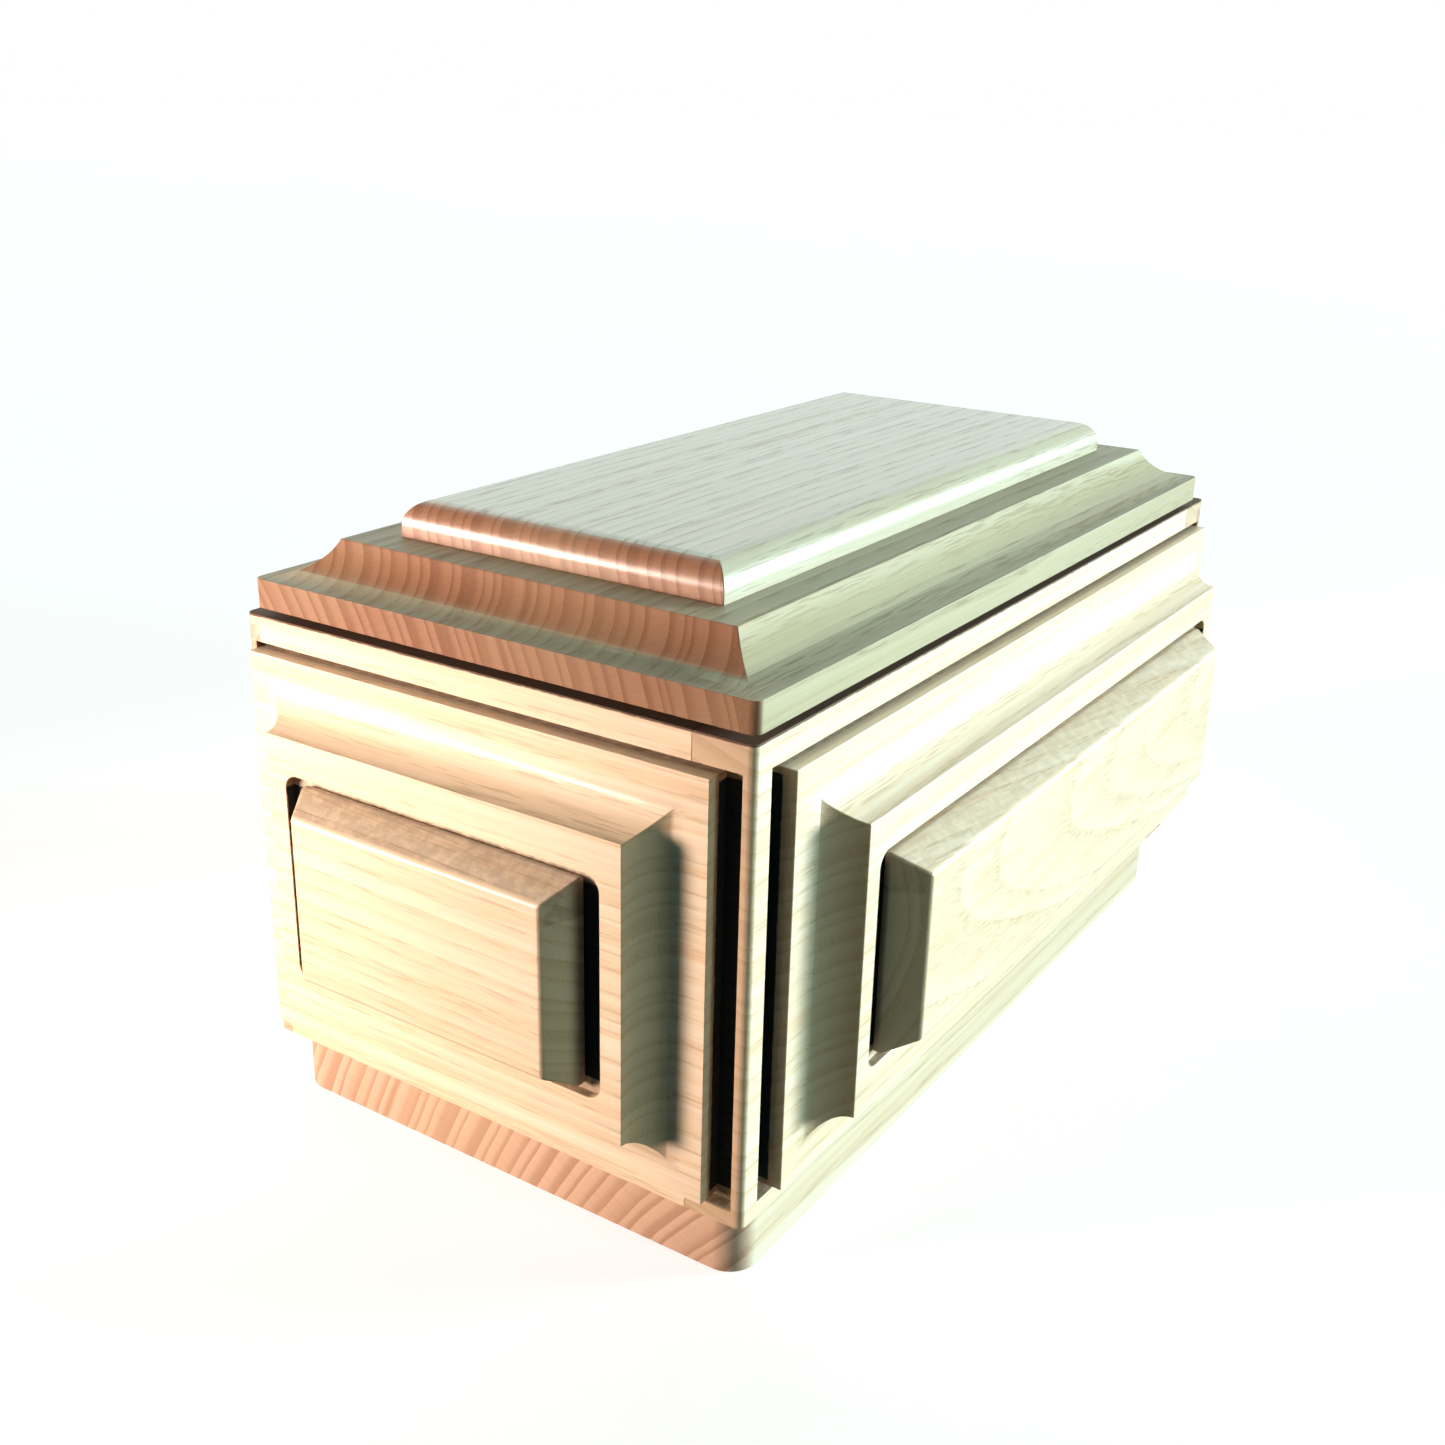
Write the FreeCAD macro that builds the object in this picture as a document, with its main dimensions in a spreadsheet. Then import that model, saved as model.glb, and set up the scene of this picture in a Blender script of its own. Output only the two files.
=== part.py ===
import FreeCAD, Part
import math
import os
import re

import Sketcher
from FreeCAD import Placement, Rotation, Vector

# Wooden puzzle box: four walls on a base board, a moulded panel that slides on each wall,
# a raised block that slides in each panel, and a moulded lid that lifts off once the lock pins
# behind the blocks are clear of its cleats.
#
# Frame: millimetres, +Z up, origin on the underside of the base board below the middle of the
# walls. The short front end faces -Y and the long right side faces +X.
#
# Each wall has a frame of its own, in which its pieces are drawn: x runs to the right for a
# person who faces the wall from outside, y runs inward from the wall's outer face, z is up.

DIMENSIONS = {
    # walls
    "body_width": 115.0,
    "body_length": 212.0,
    "body_bottom": 11.0,
    "body_top": 102.0,
    "wall": 12.0,
    "corner_round": 1.5,
    # how far a cutting tool runs past the face that it leaves through
    "overrun": 1.0,
    # shallow recess in each outer face, in which a panel slides
    "recess_bottom": 14.0,
    "recess_top": 96.6,
    "recess_depth": 3.0,
    "lip": 2.3,
    "side_lip": 5.2,
    # moulded panels
    "panel_thick": 12.7,
    "panel_clear": 0.3,
    "panel_gap": 1.1,
    "border_proud": 2.4,
    "border": 4.0,
    "end_travel": 4.3,
    "side_travel": 3.5,
    "stop_gap": 0.3,
    "rest_gap": 0.5,
    # raised blocks and the pockets that they slide in
    "block_inset": 23.7,
    "block_slope": 3.4,
    "block_proud": 6.3,
    "block_clear": 0.2,
    "block_travel": 3.6,
    "pocket_deep": 2.0,
    "pocket_end_gap": 4.2,
    "pocket_top_gap": 1.5,
    "pocket_round": 3.0,
    # key through panel and wall, slider behind the wall, lock pin
    "key_long": 12.0,
    "key_high": 8.0,
    "key_mortise": 3.0,
    "slack": 0.4,
    "slider_wide": 18.0,
    "slider_thick": 8.0,
    "slider_bottom": 45.0,
    "slider_top": 97.0,
    "pin_across": 4.0,
    "pin_buried": 8.0,
    "pin_proud": 12.0,
    "pin_height": 91.0,
    # screws and washers
    "guide_across": 4.0,
    "guide_depth": 9.0,
    "guide_head": 8.0,
    "head_thick": 2.4,
    "washer_across": 11.0,
    "washer_thick": 1.0,
    "washer_clear": 0.2,
    "end_guide_spread": 30.0,
    "side_guide_spread": 78.0,
    "key_screw_across": 3.5,
    "key_screw_depth": 12.0,
    "key_screw_head": 7.0,
    "wood_screw_across": 3.5,
    "wood_screw_head": 7.0,
    "base_screw_long": 32.0,
    "base_screw_row": 80.0,
    "base_screw_right": 6.0,
    "base_screw_left": 9.2,
    "cleat_screw_long": 25.0,
    "top_screw_long": 16.2,
    # corner dowels
    "dowel_across": 5.0,
    "dowel_long": 16.0,
    "dowel_inset": 7.0,
    "dowel_low": 30.0,
    "dowel_pitch": 25.0,
    # base board, flush with the near right corner of the walls
    "base_width": 109.5,
    "base_length": 201.5,
    "base_inset": 0.5,
    "base_round": 5.8,
    # lid, flush with the same corner
    "lid_width": 112.0,
    "lid_length": 203.5,
    "lid_overhang": 0.6,
    "lid_gap": 1.8,
    "lid_clear": 0.1,
    "lid_thick": 12.7,
    "lid_edge": 5.7,
    "lid_corner_round": 1.8,
    "lid_bead": 0.6,
    "lid_cove_inset": 11.0,
    "lid_cove": 11.3,
    "top_inset": 19.5,
    "top_thick": 7.0,
    "top_round": 5.0,
    "top_screw_across": 22.4,
    "top_screw_along": 50.9,
    "spacer_half_width": 51.5,
    "spacer_near": 100.0,
    "spacer_far": 95.3,
    # cleats under the lid that the lock pins enter
    "cleat_free": 1.5,
    "cleat_long": 22.0,
    "cleat_thick": 10.0,
    "cleat_bottom": 84.0,
    "cleat_clear": 0.5,
    "cleat_bore": 5.0,
    "cleat_bore_deep": 9.0,
    "cleat_screw_place": 16.0,
}

doc = FreeCAD.newDocument("puzzle_box")
sheet = doc.addObject("Spreadsheet::Sheet", "Sizes")
for row, (alias, size) in enumerate(DIMENSIONS.items(), start=1):
    sheet.set(f"A{row}", alias)
    sheet.set(f"B{row}", str(size))
    sheet.setAlias(f"B{row}", alias)
doc.recompute()

TURN = 2 * math.pi
NEARLY = 0.01
NEARLY_ALONG = 0.999
ALIAS = re.compile(r"\b(" + "|".join(DIMENSIONS) + r")\b")
nodes = []


def bound(text):
    """The expression with every alias read from the sheet."""
    return ALIAS.sub(r"Sizes.\1", text)


def value(text):
    """What an expression comes to, in millimetres."""
    return float(sheet.evalExpression(bound(text)))


def bind(thing, **expressions):
    for name, text in expressions.items():
        thing.setExpression(name, bound(text))


def set_place(thing, corner, turn=None):
    """Bind a piece's place to three expressions, with an optional turn."""
    if turn is not None:
        thing.Placement = Placement(Vector(), turn)
    for axis, text in zip("xyz", corner):
        thing.setExpression(f"Placement.Base.{axis}", bound(text))


def box(name, size, corner):
    piece = doc.addObject("Part::Box", name)
    bind(piece, Length=size[0], Width=size[1], Height=size[2])
    set_place(piece, corner)
    return piece


AXIS_TURNS = {
    "x": Rotation(Vector(0, 1, 0), 90),
    "y": Rotation(Vector(1, 0, 0), -90),
    "-x": Rotation(Vector(0, 1, 0), -90),
    "z": Rotation(),
}


def rod(name, across, length, start, along):
    """A cylinder from start, running along an axis."""
    piece = doc.addObject("Part::Cylinder", name)
    bind(piece, Radius=f"({across}) / 2", Height=length)
    set_place(piece, start, AXIS_TURNS[along])
    return piece


def cone(name, wide, narrow, length, start, along):
    piece = doc.addObject("Part::Cone", name)
    bind(piece, Radius1=f"({wide}) / 2", Radius2=f"({narrow}) / 2", Height=length)
    set_place(piece, start, AXIS_TURNS[along])
    return piece


def join(name, pieces):
    fused = doc.addObject("Part::MultiFuse", name)
    fused.Shapes = pieces
    return fused


def cut(name, base, tools):
    piece = doc.addObject("Part::Cut", name)
    piece.Base = base
    piece.Tool = tools[0] if len(tools) == 1 else join(name + "_tools", tools)
    return piece


def group(name, pieces):
    gathered = doc.addObject("Part::Compound", name)
    gathered.Links = pieces
    return gathered


def node(label, piece, place=None):
    """Register a finished sub-part under its own name."""
    piece.Label = label
    if place is not None:
        piece.Placement = place
    nodes.append(piece)
    return piece


# ---------------------------------------------------------------- moulded boards

def plane(body, role):
    for feature in body.Origin.OriginFeatures:
        if feature.Role == role:
            return feature
    raise ValueError(role)


def new_sketch(body, name, role):
    sketch = body.newObject("Sketcher::SketchObject", name)
    sketch.AttachmentSupport = [(plane(body, role), "")]
    sketch.MapMode = "FlatFace"
    return sketch


def fix_point(sketch, edge, end, spot):
    """Bind a point of the sketch to two expressions, measured from the sketch's origin."""
    for kind, text in zip(("DistanceX", "DistanceY"), spot):
        number = sketch.addConstraint(
            Sketcher.Constraint(kind, -1, 1, edge, end, value(text)))
        sketch.setExpression(f"Constraints[{number}]", bound(text))


def draw_outline(sketch, spots, arcs=None):
    """A closed outline through spots; arcs gives, for an edge's number, its centre."""
    arcs = arcs or {}
    flat = [Vector(value(x), value(y), 0) for x, y in spots]
    ends = []
    for number, (first, last) in enumerate(zip(flat, flat[1:] + flat[:1])):
        if number in arcs:
            middle = Vector(*[value(text) for text in arcs[number]], 0)
            radius = (first - middle).Length
            angles = [(spot - middle).getAngle(Vector(1, 0, 0)) for spot in (first, last)]
            angles = [angle if spot.y >= middle.y else -angle
                      for angle, spot in zip(angles, (first, last))]
            circle = Part.Circle(middle, Vector(0, 0, 1), radius)
            backward = (angles[1] - angles[0]) % TURN > TURN / 2
            span = reversed(angles) if backward else angles
            sketch.addGeometry(Part.ArcOfCircle(circle, *span), False)
            ends.append((2, 1) if backward else (1, 2))
        else:
            sketch.addGeometry(Part.LineSegment(first, last), False)
            ends.append((1, 2))
    count = len(flat)
    for number in range(count):
        following = (number + 1) % count
        sketch.addConstraint(Sketcher.Constraint(
            "Coincident", number, ends[number][1], following, ends[following][0]))
    for number, spot in enumerate(spots):
        fix_point(sketch, number, ends[number][0], spot)
    for number, centre in arcs.items():
        middle = [value(text) for text in centre]
        radius = (flat[number] - Vector(*middle, 0)).Length
        constraint = sketch.addConstraint(Sketcher.Constraint("Radius", number, radius))
        across = f"({spots[number][0]}) - ({centre[0]})"
        up = f"({spots[number][1]}) - ({centre[1]})"
        sketch.setExpression(f"Constraints[{constraint}]", bound(f"sqrt(({across})^2 + ({up})^2)"))


def board(name, long, wide, thick):
    """A PartDesign body: a board centred on its origin, lying on its back."""
    body = doc.addObject("PartDesign::Body", name)
    sketch = new_sketch(body, name + "_outline", "XY_Plane")
    corners = [(-1, -1), (1, -1), (1, 1), (-1, 1)]
    half = (value(long) / 2, value(wide) / 2)
    spots = [Vector(x * half[0], y * half[1], 0) for x, y in corners]
    for first, last in zip(spots, spots[1:] + spots[:1]):
        sketch.addGeometry(Part.LineSegment(first, last), False)
    for number in range(4):
        sketch.addConstraint(Sketcher.Constraint("Coincident", number, 2, (number + 1) % 4, 1))
    for number in (0, 2):
        sketch.addConstraint(Sketcher.Constraint("Horizontal", number))
        sketch.addConstraint(Sketcher.Constraint("Vertical", number + 1))
    sketch.addConstraint(Sketcher.Constraint("Symmetric", 0, 1, 2, 1, -1, 1))
    for kind, edge, text in (("DistanceX", 0, long), ("DistanceY", 1, wide)):
        number = sketch.addConstraint(Sketcher.Constraint(kind, edge, 1, edge, 2, value(text)))
        sketch.setExpression(f"Constraints[{number}]", bound(text))
    pad = body.newObject("PartDesign::Pad", name + "_pad")
    pad.Profile = sketch
    bind(pad, Length=thick)
    return body


def shape_edges(body, long, wide, thick, edge, start, stop, centre_height=None):
    """Mould all four edges: cut away what lies above a line or cove that starts on the edge
    at height edge, start inside the rim, and reaches the face stop inside the rim."""
    for name, size, role, mirror in (
            ("ends", long, "XZ_Plane", "YZ_Plane"), ("sides", wide, "YZ_Plane", "XZ_Plane")):
        half = f"({size}) / 2"
        spots = [(f"{half} + overrun", edge), (f"{half} + overrun", f"{thick} + overrun"),
                 (f"{half} - ({stop})", f"{thick} + overrun"), (f"{half} - ({stop})", thick),
                 (f"{half} - ({start})", edge)]
        arcs = None
        if centre_height is not None:
            arcs = {3: (f"{half} - ({start})", centre_height)}
        sketch = new_sketch(body, f"{body.Name}_{name}_profile", role)
        draw_outline(sketch, spots, arcs)
        pocket = body.newObject("PartDesign::Pocket", f"{body.Name}_{name}")
        pocket.Profile = sketch
        pocket.Type = "ThroughAll"
        pocket.SideType = "Symmetric"
        both = body.newObject("PartDesign::Mirrored", f"{body.Name}_{name}_both")
        both.Originals = [pocket]
        both.MirrorPlane = (plane(body, mirror), [""])
        body.Tip = both
        doc.recompute()


def round_edges(body, radius, chosen):
    """Round the edges that the test picks from the body's present shape."""
    doc.recompute()
    tip = body.Tip
    names = [f"Edge{number}" for number, edge in enumerate(tip.Shape.Edges, start=1)
             if chosen(edge)]
    fillet = body.newObject("PartDesign::Fillet", f"{body.Name}_round_{len(body.Group)}")
    fillet.Base = (tip, names)
    bind(fillet, Radius=radius)
    body.Tip = fillet


def is_upright(edge):
    first, last = edge.Vertexes[0].Point, edge.Vertexes[-1].Point
    return abs((last - first).normalize().z) > NEARLY_ALONG


# ---------------------------------------------------------------- the four walls

class Station:
    """One wall with its panel, block and lock, drawn in the wall's own frame."""

    def __init__(self, name, turn, half, reach, home, near_lip, travel, spread):
        self.name = name
        self.half = half
        self.home = home
        self.near_lip = near_lip
        self.travel = travel
        self.spread = spread
        self.screws = []
        rotation = Rotation(Vector(0, 0, 1), turn)
        self.place = Placement(rotation.multVec(Vector(0, -value(reach), 0)), rotation)
        self.panel_long = (f"(2 * ({half}) - lip - {near_lip} - {travel}"
                           " - stop_gap - rest_gap)")
        # where the panel rests: slid away from home, measured toward home
        self.rest = f"(rest_gap + {self.panel_long} / 2 - ({half}) + lip)"

    def toward(self, text, length="0"):
        """The lower x of a piece of some length that starts at text, measured toward home."""
        if self.home > 0:
            return f"({text})"
        return f"(0 - ({text}) - ({length}))"

    @property
    def home_axis(self):
        return "x" if self.home > 0 else "-x"

    def point(self, text):
        return f"({self.home} * ({text}))"

    def label(self, word):
        return f"{self.name}_{word}"

    def add(self, word, piece):
        return node(self.label(word), piece, self.place)


PANEL_HIGH = "(recess_top - recess_bottom - 2 * panel_gap)"
PANEL_MIDDLE = "((recess_top + recess_bottom) / 2)"
PANEL_BACK = "(recess_depth - panel_clear)"
PANEL_EDGE = f"({PANEL_BACK} + border_proud)"
COVE = f"(panel_thick - {PANEL_EDGE})"
POCKET_FLOOR = f"({PANEL_BACK} - panel_thick + pocket_deep)"
BLOCK_BACK = f"({POCKET_FLOOR} - block_clear)"
BLOCK_THICK = "(block_proud + pocket_deep - block_clear)"
BLOCK_HIGH = f"({PANEL_HIGH} - 2 * block_inset + 2 * block_slope)"
SLIDER_FACE = "(wall + slack)"
PIN_DEPTH = f"({SLIDER_FACE} + slider_thick / 2)"
GUIDES = (-1, 1)
FACING = Rotation(Vector(1, 0, 0), 90)


def make_wall(station):
    """A wall board with its recess, its slots and the notch at its free end."""
    name = station.label("wall")
    half = station.half
    high = "body_top - body_bottom"
    blank = board(name + "_blank", f"2 * ({half}) - wall", high, "wall")
    round_edges(blank, "corner_round", lambda edge: outer_end(edge, blank))
    set_place(blank, ("0 - wall / 2", "wall", "(body_top + body_bottom) / 2"), FACING)
    opening = "recess_top - recess_bottom"
    slot_long = f"key_long + 2 * block_travel + {station.travel} + 2 * slack"
    tools = [
        box(name + "_recess", (f"2 * ({half}) - lip - {left_lip(station)}", "recess_depth", opening),
            (f"{left_lip(station)} - ({half})", "0", "recess_bottom")),
        box(name + "_notch", ("recess_depth", "wall - lip", opening),
            (f"0 - ({half})", "lip", "recess_bottom")),
        box(name + "_key_slot",
            (slot_long, "wall + 2 * overrun", "key_high + 2 * slack"),
            (station.toward(f"{station.rest} - key_long / 2 - block_travel - slack", slot_long),
             "0 - overrun", f"{PANEL_MIDDLE} - key_high / 2 - slack")),
    ]
    for side in GUIDES:
        tools += guide_slot(station, side)
    station.screws = wall_screws(station)
    tools += wall_dowels(station) + station.screws
    return station.add("wall", cut(name + "_cut", blank, tools))


def left_lip(station):
    return station.near_lip if station.home < 0 else "lip"


def outer_end(edge, blank):
    """Whether this is the outer upright edge at the free end, in the blank's own frame."""
    shape = blank.Tip.Shape.BoundBox
    first, last = edge.Vertexes[0].Point, edge.Vertexes[-1].Point
    runs_up = abs((last - first).normalize().y) > NEARLY_ALONG
    return (runs_up and abs(first.x - shape.XMin) < NEARLY
            and abs(first.z - shape.ZMax) < NEARLY)


def guide_slot(station, side):
    """A slot with round ends through the wall for one guide screw."""
    name = f"{station.name}_guide_slot_{'left' if side < 0 else 'right'}"
    start = f"{station.rest} + ({side} * {station.spread})"
    high = "guide_across + 2 * slack"
    length = station.travel
    through = "wall + 2 * overrun"
    middle = box(name, (length, through, high),
                 (station.toward(start, length), "0 - overrun",
                  f"{PANEL_MIDDLE} - guide_across / 2 - slack"))
    ends = [rod(f"{name}_end_{number}", high, through,
                (station.point(f"{start} + {number} * {length}"), "0 - overrun", PANEL_MIDDLE), "y")
            for number in (0, 1)]
    return [middle] + ends


# ---------------------------------------------------------------- corner dowels

def dowel(station, level, at_free_end):
    """A dowel across a corner joint, in a wall's frame."""
    name = f"{station.name}_dowel_{'free' if at_free_end else 'butt'}_{level}"
    height = f"dowel_low + {level} * dowel_pitch"
    if at_free_end:
        start = (f"dowel_inset - ({station.half})", "wall - dowel_long / 2", height)
        return rod(name, "dowel_across", "dowel_long", start, "y")
    start = (f"{station.half} - wall - dowel_long / 2", "dowel_inset", height)
    return rod(name, "dowel_across", "dowel_long", start, "x")


DOWEL_LEVELS = (0, 1, 2)


def wall_dowels(station):
    return [dowel(station, level, free) for level in DOWEL_LEVELS for free in (True, False)]


def make_dowels(stations):
    placed = []
    for station in stations:
        pins = group(station.label("dowel_set"),
                     [doc.getObject(f"{station.name}_dowel_butt_{level}")
                      for level in DOWEL_LEVELS])
        pins.Placement = station.place
        placed.append(pins)
    node("corner_dowels", group("corner_dowels_all", placed))


# ---------------------------------------------------------------- panel, block and lock

def guide_parts(station, side):
    """Shank, head and washer of one guide screw."""
    tag = f"{station.name}_guide_{'left' if side < 0 else 'right'}"
    x = station.point(f"{station.rest} + ({side} * {station.spread})")
    washer_at = "wall + washer_clear"
    head_at = f"{washer_at} + washer_thick"
    shank = rod(tag + "_shank", "guide_across", f"{head_at} + guide_depth - {PANEL_BACK}",
                (x, f"{PANEL_BACK} - guide_depth", PANEL_MIDDLE), "y")
    head = rod(tag + "_head", "guide_head", "head_thick", (x, head_at, PANEL_MIDDLE), "y")
    disc = rod(tag + "_disc", "washer_across", "washer_thick", (x, washer_at, PANEL_MIDDLE), "y")
    washer = cut(tag + "_washer", disc, [shank])
    return shank, join(tag + "_screw", [shank, head]), washer


def make_panel(station):
    """The moulded panel, with its pocket, key slot and screw holes."""
    long = station.panel_long
    blank = board(station.label("panel_blank"), long, PANEL_HIGH, "panel_thick")
    shape_edges(blank, long, PANEL_HIGH, "panel_thick", PANEL_EDGE, "border",
                f"border + {COVE}", "panel_thick")
    cut_pocket(blank, long)
    centre = station.point(station.rest)
    set_place(blank, (centre, PANEL_BACK, PANEL_MIDDLE), FACING)
    slot_long = "key_long + 2 * block_travel + 2 * slack"
    slot = box(station.label("panel_slot"),
               (slot_long, "panel_thick + 2 * overrun", "key_high + 2 * slack"),
               (f"{centre} - ({slot_long}) / 2", f"{PANEL_BACK} - panel_thick - overrun",
                f"{PANEL_MIDDLE} - key_high / 2 - slack"))
    guides = [guide_parts(station, side) for side in GUIDES]
    station.add("panel", cut(station.label("panel_cut"), blank,
                             [slot] + [shank for shank, screw, washer in guides]))
    station.add("guide_screws",
                group(station.label("guide_screw_pair"), [screw for shank, screw, washer in guides]))
    station.add("guide_washers",
                group(station.label("washer_pair"), [washer for shank, screw, washer in guides]))


def cut_pocket(blank, long):
    """The routed pocket in the face of a panel."""
    doc.recompute()
    wide = f"{long} - 2 * block_inset + 2 * block_slope + 2 * pocket_end_gap"
    high = f"{BLOCK_HIGH} + 2 * pocket_top_gap"
    sketch = new_sketch(blank, blank.Name + "_pocket_outline", "XY_Plane")
    bind(sketch, **{"AttachmentOffset.Base.z": "panel_thick"})
    half = (value(wide) / 2, value(high) / 2)
    corner = value("pocket_round")
    spots = [(x * (half[0] - corner * inset_x), y * (half[1] - corner * inset_y))
             for x, y, inset_x, inset_y in (
                 (-1, -1, 1, 0), (1, -1, 1, 0), (1, -1, 0, 1), (1, 1, 0, 1),
                 (1, 1, 1, 0), (-1, 1, 1, 0), (-1, 1, 0, 1), (-1, -1, 0, 1))]
    flat = [Vector(x, y, 0) for x, y in spots]
    for number in range(4):
        sketch.addGeometry(Part.LineSegment(flat[2 * number], flat[2 * number + 1]), False)
    for number, (x, y) in enumerate(((1, -1), (1, 1), (-1, 1), (-1, -1))):
        middle = Vector(x * (half[0] - corner), y * (half[1] - corner), 0)
        circle = Part.Circle(middle, Vector(0, 0, 1), corner)
        start = (number - 1) * TURN / 4
        sketch.addGeometry(Part.ArcOfCircle(circle, start, start + TURN / 4), False)
    for number in range(4):
        arc = 4 + number
        sketch.addConstraint(Sketcher.Constraint("Tangent", number, 2, arc, 1))
        sketch.addConstraint(Sketcher.Constraint("Tangent", arc, 2, (number + 1) % 4, 1))
    for number in (0, 2):
        sketch.addConstraint(Sketcher.Constraint("Horizontal", number))
        sketch.addConstraint(Sketcher.Constraint("Vertical", number + 1))
    for arc in (5, 6, 7):
        sketch.addConstraint(Sketcher.Constraint("Equal", 4, arc))
    sketch.addConstraint(Sketcher.Constraint("Symmetric", 4, 3, 6, 3, -1, 1))
    for constraint, text in (
            (Sketcher.Constraint("Radius", 4, corner), "pocket_round"),
            (Sketcher.Constraint("DistanceX", 0, 1, 0, 2, 2 * (half[0] - corner)),
             f"{wide} - 2 * pocket_round"),
            (Sketcher.Constraint("DistanceY", 1, 1, 1, 2, 2 * (half[1] - corner)),
             f"{high} - 2 * pocket_round")):
        number = sketch.addConstraint(constraint)
        sketch.setExpression(f"Constraints[{number}]", bound(text))
    pocket = blank.newObject("PartDesign::Pocket", blank.Name + "_pocket")
    pocket.Profile = sketch
    bind(pocket, Length="pocket_deep")
    blank.Tip = pocket


def make_lock(station):
    """The sliding block and what it carries through the wall."""
    long = f"({station.panel_long} - 2 * block_inset + 2 * block_slope)"
    centre = station.point(station.rest)
    blank = board(station.label("block_blank"), long, BLOCK_HIGH, BLOCK_THICK)
    shape_edges(blank, long, BLOCK_HIGH, BLOCK_THICK, f"{BLOCK_THICK} - block_proud",
                "0", "block_slope")
    set_place(blank, (centre, BLOCK_BACK, PANEL_MIDDLE), FACING)

    key_x = f"{centre} - key_long / 2"
    key = box(station.label("key_bar"),
              ("key_long", f"{SLIDER_FACE} - {BLOCK_BACK} + key_mortise", "key_high"),
              (key_x, f"{BLOCK_BACK} - key_mortise", f"{PANEL_MIDDLE} - key_high / 2"))
    screw_start = f"{SLIDER_FACE} - key_screw_depth"
    shank = rod(station.label("key_shank"), "key_screw_across", "key_screw_depth + slider_thick",
                (centre, screw_start, PANEL_MIDDLE), "y")
    head = rod(station.label("key_head"), "key_screw_head", "head_thick",
               (centre, f"{SLIDER_FACE} + slider_thick", PANEL_MIDDLE), "y")
    plate = box(station.label("slider_plate"),
                ("slider_wide", "slider_thick", "slider_top - slider_bottom"),
                (f"{centre} - slider_wide / 2", SLIDER_FACE, "slider_bottom"))
    pin_start = f"{station.rest} + slider_wide / 2 - pin_buried"
    pin = rod(station.label("pin_rod"), "pin_across", "pin_buried + pin_proud",
              (station.point(pin_start), PIN_DEPTH, "pin_height"), station.home_axis)

    station.add("block", cut(station.label("block_cut"), blank, [key]))
    station.add("key", cut(station.label("key_cut"), key, [shank]))
    station.add("slider", cut(station.label("slider_cut"), plate, [shank, pin]))
    station.add("lock_pin", group(station.label("lock_pin_rod"), [pin]))
    station.add("key_screw", join(station.label("key_screw_joined"), [shank, head]))


# ---------------------------------------------------------------- base board

def wood_screw(name, length, start):
    """A countersunk screw whose flat head starts at start and whose shank runs upward."""
    sink = "((wood_screw_head - wood_screw_across) / 2)"
    shank = rod(name + "_shank", "wood_screw_across", length, start, "z")
    head = cone(name + "_head", "wood_screw_head", "wood_screw_across", sink, start, "z")
    return join(name, [shank, head])


def wall_screws(station):
    """The screws that hold a side wall to the base board, in the wall's frame."""
    if station.name not in ("left", "right"):
        return []
    return [wood_screw(station.label(f"base_screw_{row}"), "base_screw_long",
                       (f"{row - 1} * base_screw_row", f"base_screw_{station.name}", "0"))
            for row in range(3)]


def make_base(stations):
    blank = board("base_blank", "base_width", "base_length", "body_bottom")
    round_edges(blank, "base_round", is_upright)
    set_place(blank, ("body_width / 2 - base_inset - base_width / 2",
                      "base_inset + base_length / 2 - body_length / 2", "0"))
    rows = []
    for station in stations:
        if station.screws:
            row = group(station.label("base_screw_row"), station.screws)
            row.Placement = station.place
            rows.append(row)
    node("base_board", cut("base_cut", blank, rows))
    node("base_screws", group("base_screw_group", rows))


# ---------------------------------------------------------------- lid

def make_cleat(station):
    """A cleat under the lid with the bore that a lock pin enters."""
    name = station.label("cleat")
    start = f"{station.rest} + slider_wide / 2 + pin_proud + cleat_free"
    blank = box(name + "_blank",
                ("cleat_long", "cleat_thick", "body_top + lid_clear - cleat_bottom"),
                (station.toward(start, "cleat_long"), "wall + cleat_clear", "cleat_bottom"))
    bore = rod(name + "_bore", "cleat_bore", "cleat_bore_deep + overrun",
               (station.point(f"{start} - overrun"), PIN_DEPTH, "pin_height"),
               station.home_axis)
    screw = wood_screw(name + "_screw", "cleat_screw_long",
                       (station.point(f"{start} + cleat_screw_place"),
                        "wall + cleat_clear + cleat_thick / 2", "cleat_bottom"))
    cleat = cut(name + "_cut", blank, [bore, screw])
    placed_screw = group(name + "_screw_placed", [screw])
    for piece in (cleat, placed_screw):
        piece.Placement = station.place
    return cleat, placed_screw


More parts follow.
